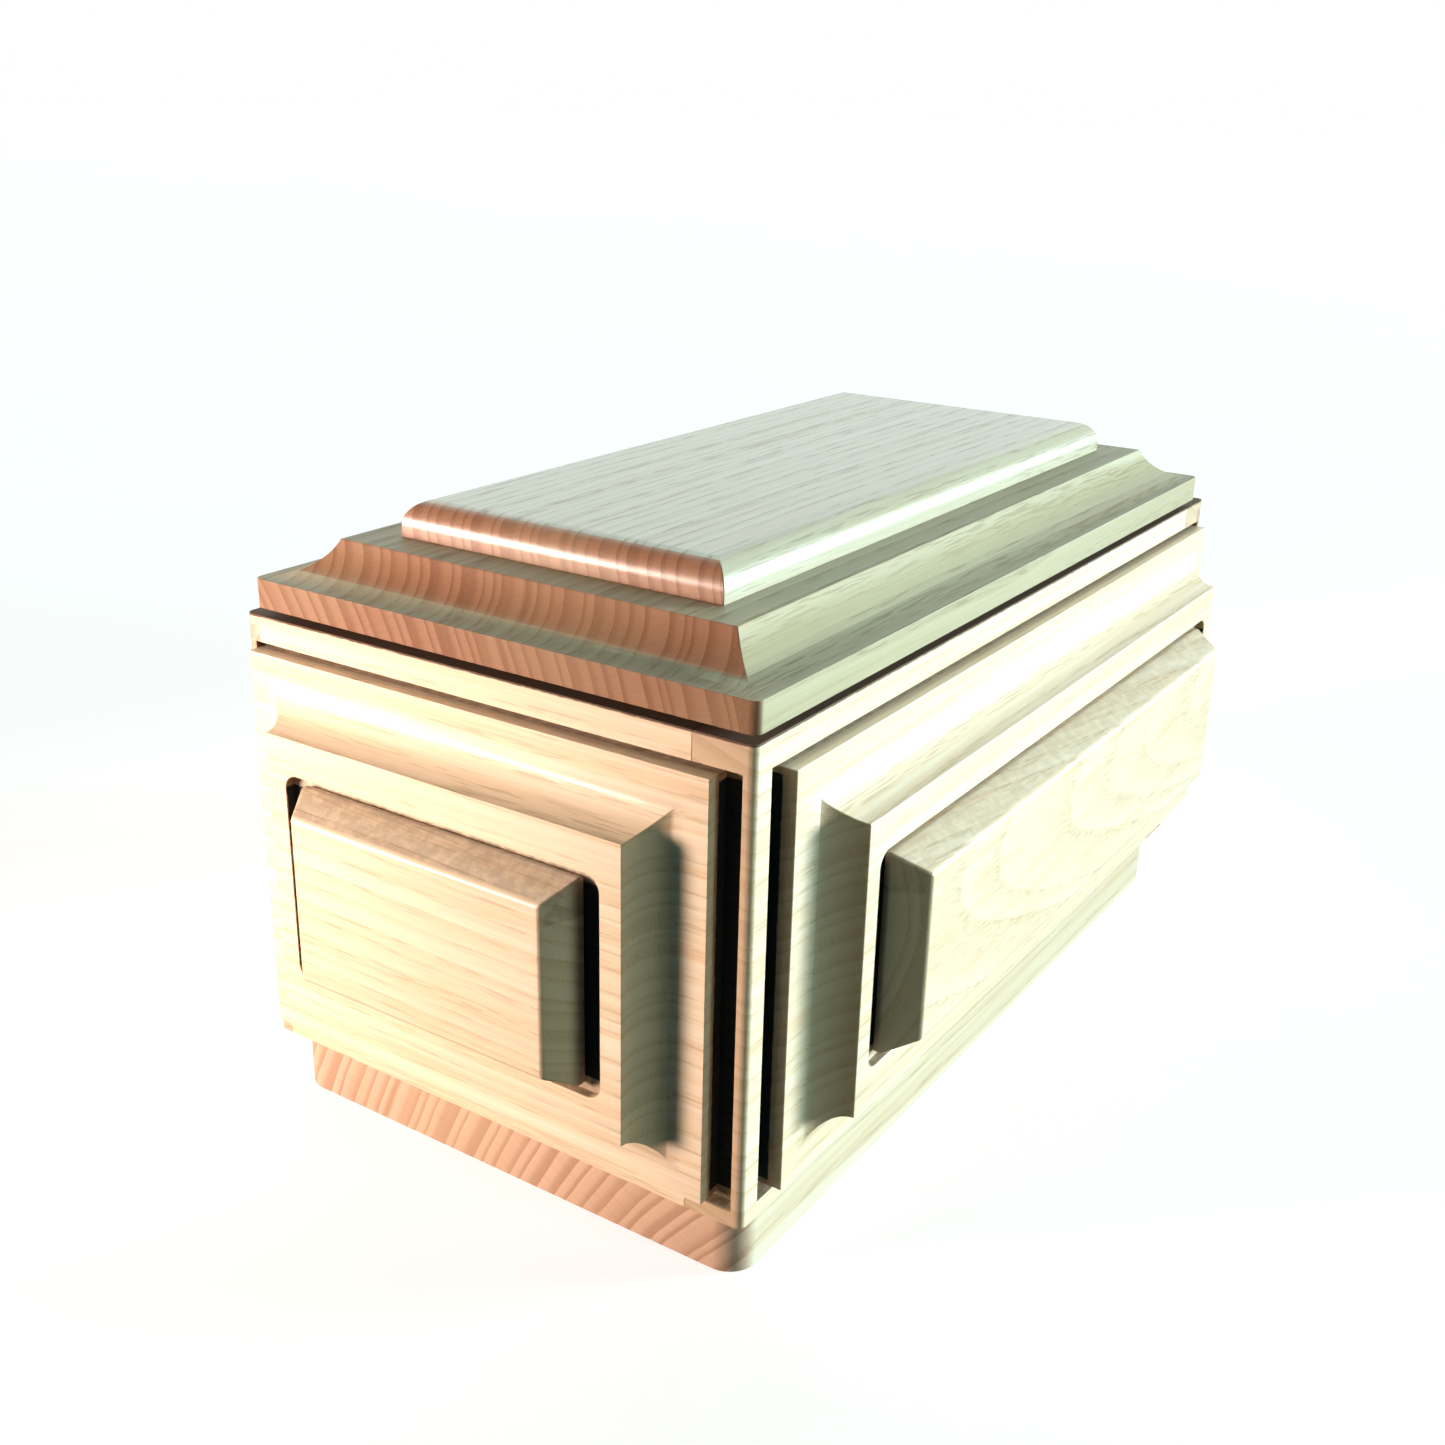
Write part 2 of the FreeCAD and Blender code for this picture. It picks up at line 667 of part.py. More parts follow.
def make_lid(stations):
    middle = ("body_width / 2 + lid_overhang - lid_width / 2",
              "lid_length / 2 - body_length / 2 - lid_overhang")
    underside = "(body_top + lid_gap)"
    blank = board("lid_blank", "lid_width", "lid_length", "lid_thick")
    round_edges(blank, "lid_corner_round", is_upright)
    shape_edges(blank, "lid_width", "lid_length", "lid_thick", "lid_edge", "lid_bead",
                "lid_bead + lid_cove_inset", "lid_edge + lid_cove")
    set_place(blank, (*middle, underside))

    top = board("top_blank", "lid_width - 2 * top_inset", "lid_length - 2 * top_inset", "top_thick")
    doc.recompute()
    high = value("top_thick")
    round_edges(top, "top_round", lambda edge: all(
        abs(vertex.Z - high) < NEARLY for vertex in edge.Vertexes))
    set_place(top, (*middle, f"{underside} + lid_thick"))

    spacer = box("spacer_board",
                 ("2 * spacer_half_width", "spacer_near + spacer_far", "lid_gap - lid_clear"),
                 ("0 - spacer_half_width", "0 - spacer_near", "body_top + lid_clear"))

    cleats = [make_cleat(station) for station in stations]
    cleat_screws = group("cleat_screw_group", [screw for cleat, screw in cleats])
    top_screws = []
    for across in (-1, 1):
        for along in (-1, 1):
            spot = (f"{middle[0]} + {across} * top_screw_across",
                    f"{middle[1]} + {along} * top_screw_along", underside)
            top_screws.append(wood_screw(f"top_screw_{across + 1}_{along + 1}",
                                         "top_screw_long", spot))

    node("lid_board", cut("lid_cut", blank, top_screws + [cleat_screws]))
    node("lid_top_board", cut("top_cut", top, [group("top_screw_holes", top_screws)]))
    node("lid_spacer", cut("spacer_cut", spacer, [cleat_screws]))
    node("lid_cleats", group("cleat_group", [cleat for cleat, screw in cleats]))
    node("cleat_screws", cleat_screws)
    node("top_board_screws", group("top_screw_group", top_screws))


# ---------------------------------------------------------------- build, check and write

def write_parts():
    doc.recompute()
    for thing in doc.Objects:
        if "Invalid" in thing.State or "Error" in thing.State:
            raise RuntimeError(f"{thing.Name} failed: {thing.State}")
    os.makedirs("parts", exist_ok=True)
    for piece in nodes:
        if piece.Shape.isNull() or not piece.Shape.isValid():
            raise RuntimeError(f"{piece.Label} has no valid shape")
        piece.Shape.exportStep(f"parts/{piece.Label}.step")
        print(piece.Label, round(piece.Shape.Volume, 1), len(piece.Shape.Solids))


def main():
    end = ("body_width / 2", "body_length / 2", 1, "lip", "end_travel", "end_guide_spread")
    side = ("body_length / 2", "body_width / 2", -1, "side_lip", "side_travel",
            "side_guide_spread")
    stations = [Station("front", 0, *end), Station("right", 90, *side),
                Station("back", 180, *end), Station("left", 270, *side)]
    for station in stations:
        make_wall(station)
        make_panel(station)
        make_lock(station)
    make_dowels(stations)
    make_base(stations)
    make_lid(stations)
    write_parts()


main()
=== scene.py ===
import math

import bpy
from mathutils import Matrix, Vector


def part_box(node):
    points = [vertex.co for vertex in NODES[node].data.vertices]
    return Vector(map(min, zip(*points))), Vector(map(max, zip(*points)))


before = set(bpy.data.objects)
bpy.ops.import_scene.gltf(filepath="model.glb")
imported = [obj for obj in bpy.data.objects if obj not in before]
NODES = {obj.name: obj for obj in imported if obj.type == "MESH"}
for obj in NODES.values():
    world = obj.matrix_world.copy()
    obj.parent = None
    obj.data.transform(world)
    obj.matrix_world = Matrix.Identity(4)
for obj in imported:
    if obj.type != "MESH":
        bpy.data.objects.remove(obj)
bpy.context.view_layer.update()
SIDES = ("front", "right", "back", "left")
MM = 0.001


# ---------------------------------------------------------------- node helpers

class Graph:
    """Short names for building the node tree of a material or a world."""

    def __init__(self, owner, output="OutputMaterial"):
        self.owner = owner
        owner.use_nodes = True
        self.tree = owner.node_tree
        self.tree.nodes.clear()
        self.output = self.add(output)

    def add(self, kind, values=None, **settings):
        """A node with its settings, and its inputs set from numbers or linked from sockets."""
        node = self.tree.nodes.new("ShaderNode" + kind)
        for key, setting in settings.items():
            setattr(node, key, setting)
        for key, given in (values or {}).items():
            self.feed(node.inputs[key], given)
        return node

    def feed(self, socket, given):
        if isinstance(given, bpy.types.NodeSocket):
            self.tree.links.new(given, socket)
        else:
            socket.default_value = given

    def math(self, operation, first, second=0.0, clamp=False):
        node = self.add("Math", {0: first, 1: second}, operation=operation, use_clamp=clamp)
        return node.outputs[0]

    def vector(self, operation, first, second=(0, 0, 0)):
        return self.add("VectorMath", {0: first, 1: second}, operation=operation).outputs[0]

    def ramp(self, factor, stops):
        """A smooth colour ramp; stops are (place, colour), with greys given as one number."""
        node = self.add("ValToRGB", {"Fac": factor})
        node.color_ramp.interpolation = "EASE"
        elements = node.color_ramp.elements
        while len(elements) < len(stops):
            elements.new(0.5)
        for element, (place, colour) in zip(elements, stops):
            element.position = place
            grey = isinstance(colour, (int, float))
            element.color = (colour,) * 3 + (1,) if grey else tuple(colour) + (1,)
        return node.outputs["Color"]

    def mix(self, factor, first, second):
        node = self.add("Mix", data_type="RGBA")
        for key, given in ((0, factor), (6, first), (7, second)):
            if isinstance(given, tuple):
                given = given + (1,)
            self.feed(node.inputs[key], given)
        return node.outputs[2]

    def noise(self, place, scale, detail=3.0, rough=0.5, output="Fac"):
        node = self.add("TexNoise", {"Vector": place, "Scale": scale, "Detail": detail,
                                     "Roughness": rough})
        return node.outputs[output]

    def finish(self, shader):
        self.tree.links.new(shader, self.output.inputs["Surface"])
        return self.owner


def new_material(name):
    return Graph(bpy.data.materials.new(name))


def tinted(colour, by):
    return tuple(c * f for c, f in zip(colour, by))


# ---------------------------------------------------------------- wood

GRAIN_TURNS = {"x": (0, 0, 0), "y": (0, 0, -90), "z": (0, 90, 0)}
AXES = {"x": (1, 0, 0), "y": (0, 1, 0), "z": (0, 0, 1)}

# how far a trunk strays from straight and round: a slow drift, then a fine ripple, each as
# its stretch along the fibres, noise scale, noise detail and reach
STRAYING = ((0.35, 11.0, 1.0, 7.0 * MM), (0.3, 85.0, 2.0, 0.9 * MM))

# the colour of wood browned by a cutter, also used as painted shade, and the near-black of
# painted shade deep in a gap
BURN_AND_SHADE = (0.12, 0.065, 0.038)
SHADE = (0.010, 0.014, 0.016)


def inside(g, place, low, high, soft=0.4 * MM):
    """1 inside a box, falling to 0 over a short way outside it."""
    past = g.vector("MAXIMUM", g.vector("SUBTRACT", tuple(low), place),
                    g.vector("SUBTRACT", place, tuple(high)))
    parts = g.add("SeparateXYZ", {0: past}).outputs
    furthest = g.math("MAXIMUM", g.math("MAXIMUM", parts[0], parts[1]), parts[2])
    return g.math("SUBTRACT", 1.0, g.math("DIVIDE", furthest, soft), clamp=True)


def along_trunk(g, place, grain, pith, tilt):
    """The object's coordinates turned so that X follows the fibres, from the pith."""
    turn = [math.radians(angle) for angle in GRAIN_TURNS[grain]]
    turn[2] += math.radians(tilt)
    return g.add("VectorRotate", {"Vector": g.vector("SUBTRACT", place, pith),
                                  "Rotation": turn}, rotation_type="EULER_XYZ").outputs[0]


def growth_rings(g, trunk, ring, wander):
    """Distance and angle about the pith, the place within a ring, and each ring's own tone."""
    bent = trunk
    for stretch, scale, detail, reach in STRAYING:
        shake = g.noise(g.vector("MULTIPLY", trunk, (stretch, 1.0, 1.0)), scale, detail,
                        output="Color")
        push = g.vector("MULTIPLY", g.vector("SUBTRACT", shake, (0.5,) * 3),
                        (0, reach * wander, reach * wander))
        bent = g.vector("ADD", bent, push)
    parts = g.add("SeparateXYZ", {0: bent}).outputs
    across = g.add("CombineXYZ", {0: 0.0, 1: parts[1], 2: parts[2]}).outputs[0]
    radius = g.add("VectorMath", {0: across}, operation="LENGTH").outputs["Value"]
    angle = g.math("ARCTAN2", parts[1], parts[2])
    count = g.math("DIVIDE", radius, ring)
    uneven = g.add("TexNoise", {"W": count, "Scale": 0.55, "Detail": 1.0},
                   noise_dimensions="1D").outputs["Fac"]
    count = g.math("ADD", count, g.math("MULTIPLY", uneven, 1.6))
    tone = g.add("TexWhiteNoise", {"W": g.math("FLOOR", count)},
                 noise_dimensions="1D").outputs["Value"]
    return radius, angle, g.math("FRACT", count), tone


def face_colour(g, trunk, band, fibre, tone, late, early):
    """The colour where the fibres lie in the surface: bands, streaks and single fibres."""
    streak = g.noise(g.vector("MULTIPLY", trunk, (8.0, 380.0, 380.0)), 1.0, 3.0, 0.6)
    face = g.mix(band, early, late)
    face = g.mix(g.math("MULTIPLY", tone, 0.22), face, tinted(early, (0.98, 0.86, 0.72)))
    face = g.mix(g.math("MULTIPLY", g.ramp(streak, [(0.45, 0.0), (0.75, 1.0)]), 0.55), face,
                 tinted(early, (0.90, 0.74, 0.56)))
    return g.mix(g.math("MULTIPLY", g.ramp(fibre, [(0.40, 0.0), (0.75, 1.0)]), 0.24), face,
                 tinted(early, (0.82, 0.68, 0.52)))


def end_colour(g, radius, angle, phase, tone, end, end_line):
    """The colour where the fibres are cut across: saw-toothed rings crossed by faint rays."""
    end_dark = tinted(end, end_line)
    saw = g.ramp(phase, [(0.0, 0.05), (0.12, 0.2), (0.55, 0.85), (0.93, 1.0), (1.0, 0.05)])
    cut = g.mix(saw, end_dark, end)
    cut = g.mix(g.math("MULTIPLY", tone, 0.30), cut, tinted(end, (0.80, 0.72, 0.66)))
    rays = g.add("CombineXYZ", {0: g.math("MULTIPLY", angle, 260.0),
                                1: g.math("MULTIPLY", radius, 90.0), 2: 0.0}).outputs[0]
    ray = g.ramp(g.noise(rays, 1.0, 2.0), [(0.45, 0.0), (0.70, 1.0)])
    return g.mix(g.math("MULTIPLY", ray, 0.20), cut, end_dark)


def open_pores(g, trunk, phase, pores):
    """Short dashes along the fibres, most of them where each ring starts."""
    dash = g.noise(g.vector("MULTIPLY", trunk, (110.0, 2200.0, 2200.0)), 1.0, 1.0, 0.4)
    open_ring = g.ramp(phase, [(0.0, 0.55), (0.06, 1.0), (0.26, 0.55), (0.5, 0.08), (1.0, 0.1)])
    pore = g.math("MULTIPLY", g.ramp(dash, [(0.50, 0.0), (0.62, 1.0)]), open_ring)
    return g.math("MULTIPLY", pore, pores, clamp=True)


def stained_and_shaded(g, place, colour, stains_and_shade):
    """The colour with its browning and painted shade, how strongly each spot is covered, and the
    mottling.
    """
    speck = g.noise(place, 420.0, 4.0, 0.65)
    mottle = g.ramp(speck, [(0.34, 0.45), (0.62, 1.0)])
    burnt_or_shaded = 0.0
    for low, high, stain_or_shade, strength in stains_and_shade:
        amount = g.math("MULTIPLY", inside(g, place, low, high), strength)
        amount = g.math("MULTIPLY", amount, mottle, clamp=True)
        colour = g.mix(amount, colour, stain_or_shade)
        burnt_or_shaded = g.math("MAXIMUM", burnt_or_shaded, amount)
    return colour, burnt_or_shaded, speck


def wood(name, grain, pith, late, early, end, end_line=(0.62, 0.50, 0.42), tilt=0.0,
         ring=3.2 * MM, wander=1.0, pores=0.8, rough=0.40, shine=0.45, coat=0.35, stains_and_shade=()):
    """A sawn board of ring-porous wood.

    grain is the axis that the fibres follow. pith is where the tree's centre line passes, and
    sets how the growth rings cut the faces: straight lines, cathedrals or end-grain arcs.
    late, early and end are the colours of dense rings, open rings and cut fibre ends, and
    end_line tints each ring's edge there. tilt is the angle between the fibres and the board,
    in degrees, which closes the grain lines into arches. The last argument lists boxes, as
    (low, high, colour, strength), where the wood is browned as by a cutter or painted with
    shade; a strength over 2.2 hides the mottling.
    """
    g = new_material(name)
    coordinate = g.add("TexCoord")
    place = coordinate.outputs["Object"]
    trunk = along_trunk(g, place, grain, pith, tilt)
    radius, angle, phase, tone = growth_rings(g, trunk, ring, wander)
    band = g.ramp(phase, [(0.0, 0.1), (0.10, 0.0), (0.45, 0.5), (0.92, 1.0), (1.0, 0.1)])
    fibre = g.noise(g.vector("MULTIPLY", trunk, (45.0, 2300.0, 2300.0)), 1.0, 3.0, 0.6)
    pore = open_pores(g, trunk, phase, pores)

    # how squarely the fibres meet the surface
    facing = g.add("VectorMath", {0: coordinate.outputs["Normal"], 1: AXES[grain]},
                   operation="DOT_PRODUCT").outputs["Value"]
    endness = g.ramp(g.math("ABSOLUTE", facing), [(0.10, 0.0), (0.58, 1.0)])

    colour = g.mix(endness, face_colour(g, trunk, band, fibre, tone, late, early),
                   end_colour(g, radius, angle, phase, tone, end, end_line))
    pore_shown = g.math("SUBTRACT", 0.55, g.math("MULTIPLY", endness, 0.35))
    colour = g.mix(g.math("MULTIPLY", pore, pore_shown), colour,
                   tinted(early, (0.50, 0.42, 0.33)))
    patch = g.noise(g.vector("MULTIPLY", trunk, (9.0, 26.0, 26.0)), 1.0, 2.0)
    colour = g.mix(g.math("MULTIPLY", g.ramp(patch, [(0.40, 0.0), (0.70, 1.0)]), 0.22), colour,
                   tinted(early, (0.93, 0.80, 0.64)))

    # dense wood is glossier; pores and fibre ends are duller and lie lower
    gloss = g.math("ADD", g.math("MULTIPLY", band, -0.06), rough + 0.04)
    gloss = g.math("ADD", gloss, g.math("MULTIPLY", pore, 0.20))
    gloss = g.math("ADD", gloss, g.math("MULTIPLY", endness, 0.06))
    height = g.math("SUBTRACT", g.math("MULTIPLY", fibre, 0.25), g.math("MULTIPLY", pore, 1.0))
    height = g.math("ADD", height, g.math("MULTIPLY", band, 0.12))
    coating = coat
    # browned and painted-shade spots are made duller and rougher, and lose their coat
    if stains_and_shade:
        colour, burnt_or_shaded, speck = stained_and_shaded(g, place, colour, stains_and_shade)
        gloss = g.math("ADD", gloss, g.math("MULTIPLY", burnt_or_shaded, 0.35))
        height = g.math("ADD", height, g.math("MULTIPLY", g.math("MULTIPLY", burnt_or_shaded, speck), 2.0))
        coating = g.math("MULTIPLY", g.math("SUBTRACT", 1.0, burnt_or_shaded), coat)
    bump = g.add("Bump", {"Strength": 0.35, "Distance": 0.12 * MM, "Height": height})

    shader = g.add("BsdfPrincipled", {
        "Base Color": colour, "Roughness": gloss, "Normal": bump.outputs[0],
        "Specular IOR Level": shine, "Coat Weight": coating, "Coat Roughness": 0.26})
    return g.finish(shader.outputs[0])


# ---------------------------------------------------------------- metals

def metal(name, colour, rough):
    """A turned and handled metal: fine marks and dull patches."""
    g = new_material(name)
    place = g.add("TexCoord").outputs["Object"]
    marks = g.noise(place, 900.0, 3.0)
    patch = g.noise(place, 160.0, 4.0, 0.6)
    tint = g.mix(g.ramp(patch, [(0.35, 0.0), (0.7, 1.0)]), colour,
                 tinted(colour, (0.72, 0.66, 0.58)))
    gloss = g.math("ADD", g.math("MULTIPLY", patch, 0.25), rough - 0.1)
    bump = g.add("Bump", {"Strength": 0.2, "Distance": 0.05 * MM, "Height": marks})
    shader = g.add("BsdfPrincipled", {"Base Color": tint, "Roughness": gloss,
                                      "Normal": bump.outputs[0], "Metallic": 1.0})
    return g.finish(shader.outputs[0])


# ---------------------------------------------------------------- the box's materials

PALE = dict(late=(0.84, 0.735, 0.585), early=(0.78, 0.635, 0.465), end=(0.60, 0.44, 0.29),
            end_line=(0.86, 0.80, 0.74))
LID = dict(late=(0.46, 0.425, 0.29), early=(0.40, 0.36, 0.24), end=(0.32, 0.16, 0.088))
TOP = dict(late=(0.48, 0.46, 0.345), early=(0.42, 0.395, 0.285), end=(0.34, 0.17, 0.095))
BASE = dict(late=(0.74, 0.67, 0.53), early=(0.66, 0.56, 0.42), end=(0.68, 0.46, 0.33))

BEECH = wood("beech", "z", pith=(0.31, 0.24, 0.05), late=(0.62, 0.42, 0.26),
             early=(0.52, 0.33, 0.19), end=(0.45, 0.27, 0.15), ring=2.2 * MM, pores=0.25,
             coat=0.0, rough=0.55)
# the spacer's ply is coloured near black so that it paints the shadow line under the lid
SPACER_PAINTED_SHADE = wood("ply_painted_shade", "y", pith=(0.2, 0.0, 0.3), late=(0.11, 0.068, 0.042),
           early=(0.085, 0.052, 0.032), end=(0.05, 0.031, 0.021), ring=4.0 * MM, pores=0.2,
           coat=0.0, rough=0.6)
BRASS = metal("brass", (0.80, 0.58, 0.26), 0.32)
STEEL = metal("zinc_steel", (0.62, 0.62, 0.60), 0.38)


# ---------------------------------------------------------------- finishing CAD pieces

# the index and sign of each side's outward axis
OUTWARD = {"front": (1, -1), "right": (0, 1), "back": (1, 1), "left": (0, -1)}
RECESS_DEEP = 3.0 * MM
POCKET_DEEP = 2.0 * MM
BLOCK_TRAVEL = 3.6 * MM
BLOCK_FREE = 1.2 * MM
PANEL_TRAVEL = 4.3 * MM
SLOPE_HIGH = 7 * MM
RIM_WIDE = 6 * MM

# a stain or painted shade of this strength covers fully, with no mottling
SOLID = 2.3


def dress(node, material, edge=0.5 * MM, segments=3):
    """Give a CAD node its material, smooth its curves and ease its sharp edges."""
    piece = NODES[node]
    piece.data.materials.clear()
    piece.data.materials.append(material)
    piece.data.shade_smooth()
    weld = piece.modifiers.new("weld", "WELD")
    weld.merge_threshold = 0.002 * MM
    flat = piece.modifiers.new("flat", "DECIMATE")
    flat.decimate_type = "DISSOLVE"
    flat.angle_limit = math.radians(0.6)
    if edge:
        ease = piece.modifiers.new("ease", "BEVEL")
        ease.width = edge
        ease.segments = segments
        ease.limit_method = "ANGLE"
        ease.angle_limit = math.radians(32)
        ease.harden_normals = True
    normals = piece.modifiers.new("normals", "WEIGHTED_NORMAL")
    normals.keep_sharp = True


def beside(node, offset):
    """The pith's place for a board, as an offset in millimetres from the board's middle."""
    low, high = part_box(node)
    return tuple((low + high) / 2 + Vector(offset) * MM)


def below_face(side, around, face_node, start, stop, room):
    """A box round a node, room wider on each side, between two depths under an outer face."""
    axis, sign = OUTWARD[side]
    low, high = (Vector(corner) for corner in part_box(around))
    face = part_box(face_node)[0 if sign < 0 else 1][axis]
    low -= Vector((room,) * 3)
    high += Vector((room,) * 3)
    low[axis], high[axis] = sorted((face - sign * start, face - sign * stop))
    return low, high


def gap_burn_and_shade(side, around, face_node, start, stop, room, browned_or_shaded):
    """Colour boxes for the gap round a node: browned above and below it, partly as painted
    shade, and near-black painted shade at its two sides.
    """
    low, high = below_face(side, around, face_node, start, stop, room)
    foot, head = (corner.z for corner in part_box(around))
    sides = (low.x, low.y, foot + 1.5 * MM), (high.x, high.y, head - 1.5 * MM)
    return [(low, high, BURN_AND_SHADE, browned_or_shaded), (*sides, SHADE, SOLID)]


def wall_burn_and_shade(side):
    """Browning and painted shade at one side of the case: in its panel's recess, and a painted
    shadow line on its rim below the lid.
    """
    wall = f"{side}_wall"
    recess = gap_burn_and_shade(side, f"{side}_panel", wall, 0.6 * MM, RECESS_DEEP + 0.3 * MM,
                        PANEL_TRAVEL, 0.6)
    # a solid dark band along the wall's rim under the lid: a painted shadow line
    low, high = below_face(side, wall, wall, -1 * MM, RIM_WIDE, 3 * RIM_WIDE)
    low.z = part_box(wall)[1].z - 0.1 * MM
    return recess + [(low, high, BURN_AND_SHADE, SOLID)]


def dress_case():
    dress("base_board", wood("ash_base", "y", beside("base_board", (120, 0, -70)), **BASE),
          0.8 * MM)
    for side in SIDES:
        ends = side in ("front", "back")
        node = f"{side}_wall"
        pith = beside(node, (0, 45, 160) if ends else (45, 0, 160))
        neighbour = SIDES[SIDES.index(side) - 1]
        # each wall is browned and painted with shade in its own and its neighbour's panel
        # recess, and along its rim under the lid
        dress(node, wood(f"ash_{node}", "x" if ends else "y", pith, **PALE,
                         stains_and_shade=wall_burn_and_shade(side) + wall_burn_and_shade(neighbour)))
    dress("corner_dowels", BEECH, edge=0)
    dress("base_screws", STEEL, edge=0)


def dress_side(side):
    """A side's panel and block, and the pieces behind them."""
    ends = side in ("front", "back")
    grain = "x" if ends else "y"
    panel, block, wall = (f"{side}_{word}" for word in ("panel", "block", "wall"))

    # painted shade, near black, at the sides of the block's pocket and the panel's sunk edges,
    # with browning that is partly painted shade above and below
    pocket = gap_burn_and_shade(side, block, panel, 0.45 * MM, POCKET_DEEP + 0.3 * MM,
                        BLOCK_TRAVEL + BLOCK_FREE, 0.65)
    edges = gap_burn_and_shade(side, panel, wall, 0.6 * MM, 2 * RECESS_DEEP, 1 * MM, 0.5)
    pith = beside(panel, (0, 60, -190) if ends else (60, 0, -110))
    dress(panel, wood(f"ash_{panel}", grain, pith, **PALE, stains_and_shade=pocket + edges))

    # the block's top slope is browned: partly cutter burn, partly painted shade where the low
    # light leaves it darker
    low, high = below_face(side, block, block, 1.0 * MM, 4 * POCKET_DEEP, 1 * MM)
    low.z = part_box(block)[1].z - SLOPE_HIGH
    pith = beside(block, (-30, 24, 60) if ends else (-22, 90, 8))
    dress(block, wood(f"ash_{block}", grain, pith, **PALE, tilt=2 if ends else 7,
                      stains_and_shade=[(low, high, BURN_AND_SHADE, 0.42 if ends else 0.26)]), 0.7 * MM)

    dress(f"{side}_key", BEECH, 0.3 * MM)
    dress(f"{side}_slider", BEECH)
    dress(f"{side}_lock_pin", BRASS, 0.4 * MM)
    dress(f"{side}_guide_washers", BRASS, 0.15 * MM)
    dress(f"{side}_guide_screws", STEEL, 0.3 * MM)
    dress(f"{side}_key_screw", STEEL, 0.3 * MM)


def dress_lid():
    dress("lid_board", wood("ash_lid_board", "y", beside("lid_board", (-150, 0, -60)), **LID,
                            coat=0.08, rough=0.5, shine=0.25), 0.7 * MM)
    dress("lid_top_board", wood("ash_top_board", "y", beside("lid_top_board", (-160, 0, -30)),
                                pores=1.4, coat=0.7, **TOP), 0.35 * MM)
    dress("lid_spacer", SPACER_PAINTED_SHADE, 0.2 * MM)
    dress("lid_cleats", BEECH)
    dress("cleat_screws", STEEL, edge=0)
    dress("top_board_screws", STEEL, edge=0)


# ---------------------------------------------------------------- surroundings

FLOOR_HALF = 12.0
WHITE = (1.0, 1.0, 1.0, 1)
BACKDROP_TOWARD = (-0.51, 0.79, 0.34)


def make_floor():
    """A plain pale floor. It looks white, and throws only a little light back up."""
    mesh = bpy.data.meshes.new("floor")
    corners = [(x * FLOOR_HALF, y * FLOOR_HALF, 0)
               for x, y in ((-1, -1), (1, -1), (1, 1), (-1, 1))]
    mesh.from_pydata(corners, [], [(0, 1, 2, 3)])
    floor = bpy.data.objects.new("floor", mesh)
    bpy.context.scene.collection.objects.link(floor)
    g = new_material("floor_paint")
    shade = g.noise(g.add("TexCoord").outputs["Object"], 3.0, 2.0)
    seen = g.add("BsdfPrincipled", {
        "Base Color": g.mix(shade, (0.38, 0.38, 0.37), (0.42, 0.42, 0.41)), "Roughness": 0.9,
        "Emission Color": WHITE, "Emission Strength": 0.72})
    thrown = g.add("BsdfDiffuse", {"Color": (0.10, 0.11, 0.105, 1)})
    choice = g.add("MixShader", {0: g.add("LightPath").outputs["Is Camera Ray"],
                                 1: thrown.outputs[0], 2: seen.outputs[0]})
    mesh.materials.append(g.finish(choice.outputs[0]))


def add_light(name, kind, power, colour):
    light = bpy.data.objects.new(name, bpy.data.lights.new(name, kind))
    light.data.energy = power
    light.data.color = colour
    bpy.context.scene.collection.objects.link(light)
    return light


def sun_light(name, azimuth, elevation, softness, power, colour):
    """A broad, distant studio light. Azimuth 0 shines toward +Y, 90 toward -X."""
    light = add_light(name, "SUN", power, colour)
    light.data.angle = math.radians(softness)
    light.rotation_euler = (math.radians(90 - elevation), 0, math.radians(azimuth))


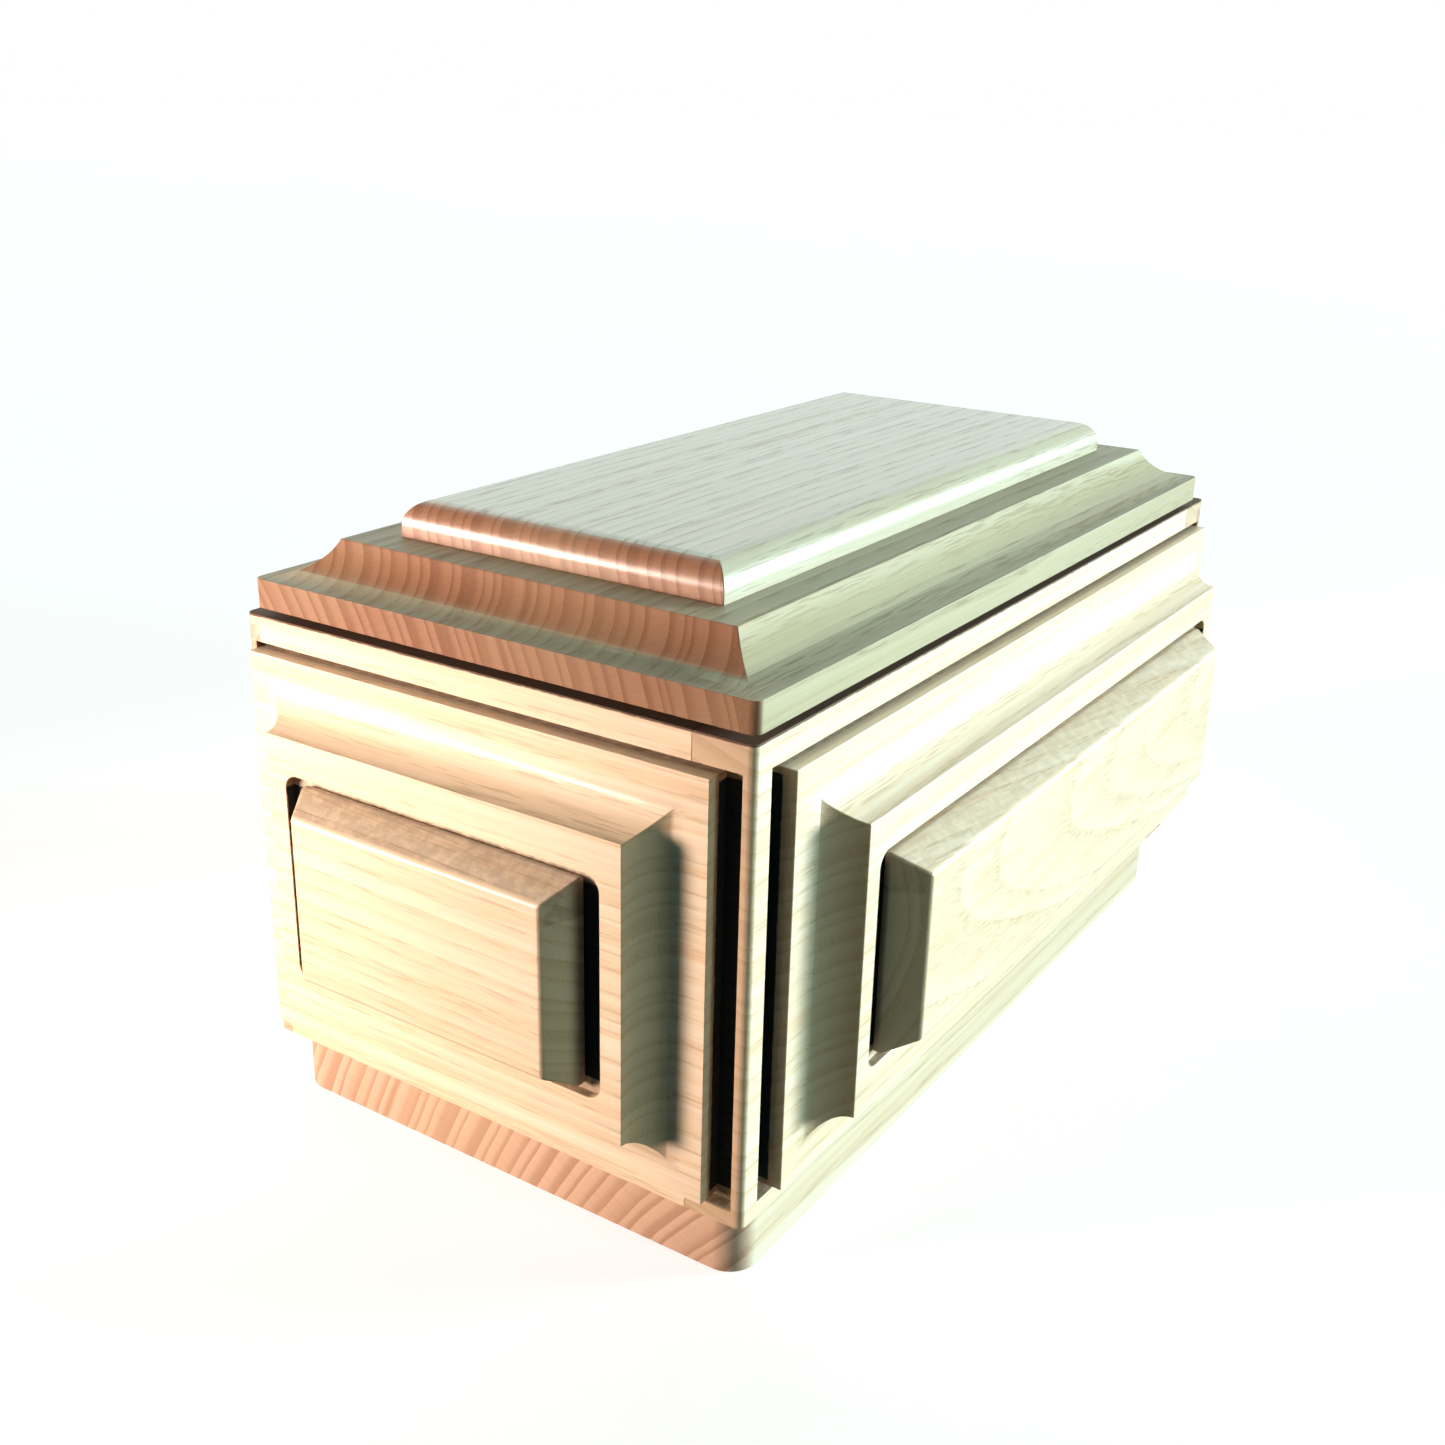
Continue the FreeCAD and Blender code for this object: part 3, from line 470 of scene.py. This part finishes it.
def spot_light(name, place, target, radius, spread, power, colour):
    """A studio spot close to the object, whose beam fades softly at its rim."""
    light = add_light(name, "SPOT", power, colour)
    light.data.shadow_soft_size = radius
    light.data.spot_size = math.radians(spread)
    light.data.spot_blend = 0.8
    light.location = place
    light.rotation_euler = (Vector(target) - Vector(place)).to_track_quat("-Z", "Y").to_euler()
    light.visible_camera = False


def make_lights():
    spot_light("warm_key", (-0.405, -0.49, 0.125), (-0.03, -0.04, 0.055), 0.11, 35, 46.0,
               (1.0, 0.79, 0.67))
    sun_light("cool_side", 135, 5, 20, 8.4, (0.82, 0.98, 1.0))
    sun_light("cool_fill", 96, 12, 12, 1.15, (0.66, 1.0, 0.92))


def make_world():
    """A room that is dim where the camera stands, with a white backdrop opposite."""
    world = bpy.data.worlds.new("studio")
    g = Graph(world, "OutputWorld")
    toward = g.add("VectorMath", {0: g.add("TexCoord").outputs["Generated"],
                                  1: BACKDROP_TOWARD}, operation="DOT_PRODUCT")
    glow = g.ramp(toward.outputs["Value"], [(0.55, (0.010, 0.036, 0.044)),
                                            (0.94, (0.92, 1.0, 0.97))])
    room = g.add("Background", {"Color": glow, "Strength": 1.55})
    seen = g.add("Background", {"Color": WHITE, "Strength": 1.0})
    choice = g.add("MixShader", {0: g.add("LightPath").outputs["Is Camera Ray"],
                                 1: room.outputs[0], 2: seen.outputs[0]})
    bpy.context.scene.world = g.finish(choice.outputs[0])


CAMERA_PLACE = (0.1819, -0.3060, 0.1961)
CAMERA_AZIMUTH = 33.16
CAMERA_ELEVATION = 20.97
CAMERA_ROLL = 1.36
CAMERA_LENS = 40.96


def make_camera():
    data = bpy.data.cameras.new("camera")
    data.lens = CAMERA_LENS
    data.sensor_width = 36.0
    data.clip_start = 0.01
    camera = bpy.data.objects.new("camera", data)
    turn = (Matrix.Rotation(math.radians(CAMERA_AZIMUTH), 4, "Z")
            @ Matrix.Rotation(math.radians(90 - CAMERA_ELEVATION), 4, "X")
            @ Matrix.Rotation(math.radians(CAMERA_ROLL), 4, "Z"))
    camera.matrix_world = Matrix.Translation(CAMERA_PLACE) @ turn
    bpy.context.scene.collection.objects.link(camera)
    bpy.context.scene.camera = camera


make_camera()
dress_case()
for side in SIDES:
    dress_side(side)
dress_lid()
make_floor()
make_lights()
make_world()
bpy.context.scene.view_settings.view_transform = "Standard"
